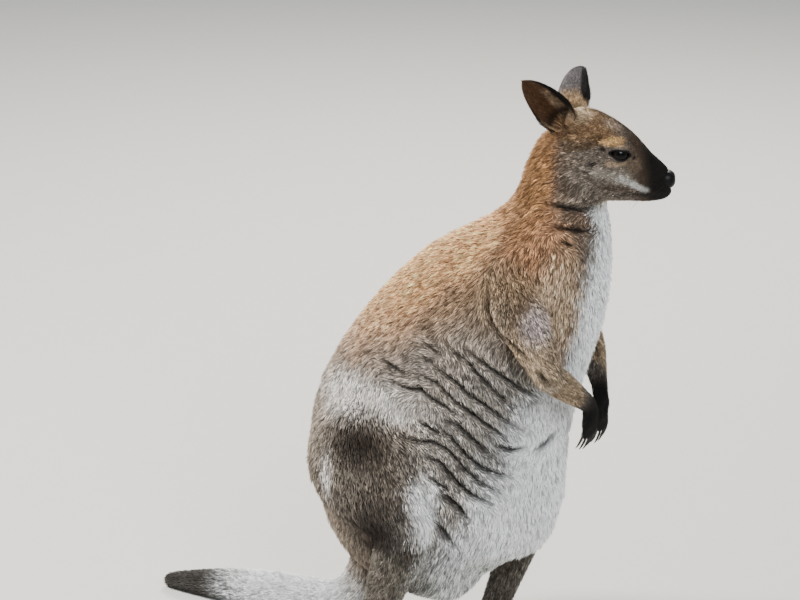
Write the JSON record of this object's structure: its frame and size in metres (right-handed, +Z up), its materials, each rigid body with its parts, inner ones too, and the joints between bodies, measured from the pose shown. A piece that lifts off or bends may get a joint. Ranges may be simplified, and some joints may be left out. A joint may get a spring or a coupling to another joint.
{
  "type": "wallaby",
  "caption": "Life-size red-necked wallaby sitting up on its hind feet, tail along the ground, paws held at the chest and head turned to its left.",
  "frame": {"origin": "middle of the bounding box in plan, at the level of the floor under the feet", "axes": "+X the way the body faces, +Y the animal's left, +Z up"},
  "size_m": [0.7254, 0.277, 0.7834],
  "materials": {
    "grey_fur": "grizzled grey-brown fur, white on the belly",
    "rufous_fur": "red-brown fur, white down the chest",
    "dark_fur": "short blackish fur",
    "ear_fur": "short dark fur, brown skin inside",
    "tail_fur": "silver-grey fur with a black tip",
    "eye": "wet, very dark brown",
    "nose": "moist bare black skin",
    "claw": "dark horn with a low sheen"
  },
  "bodies": {
    "root": {"chest": "rufous_fur", "ear_left": "ear_fur", "ear_right": "ear_fur", "eye_left": "eye", "eye_right": "eye", "finger_claw_fifth_left": "claw", "finger_claw_fifth_right": "claw", "finger_claw_first_left": "claw", "finger_claw_first_right": "claw", "finger_claw_fourth_left": "claw", "finger_claw_fourth_right": "claw", "finger_claw_second_left": "claw", "finger_claw_second_right": "claw", "finger_claw_third_left": "claw", "finger_claw_third_right": "claw", "foot_left": "dark_fur", "foot_right": "dark_fur", "forearm_left": "rufous_fur", "forearm_right": "rufous_fur", "hand_left": "dark_fur", "hand_right": "dark_fur", "head": "grey_fur", "jaw": "grey_fur", "neck": "rufous_fur", "nose": "nose", "shank_left": "grey_fur", "shank_right": "grey_fur", "tail_base": "tail_fur", "tail_end": "tail_fur", "tail_middle": "tail_fur", "thigh_left": "grey_fur", "thigh_right": "grey_fur", "toe_claw_fifth_left": "claw", "toe_claw_fifth_right": "claw", "toe_claw_fourth_left": "claw", "toe_claw_fourth_right": "claw", "toe_claw_second_left": "claw", "toe_claw_second_right": "claw", "toe_claw_third_left": "claw", "toe_claw_third_right": "claw", "trunk": "grey_fur", "upper_arm_left": "rufous_fur", "upper_arm_right": "rufous_fur"}
  },
  "joints": []
}
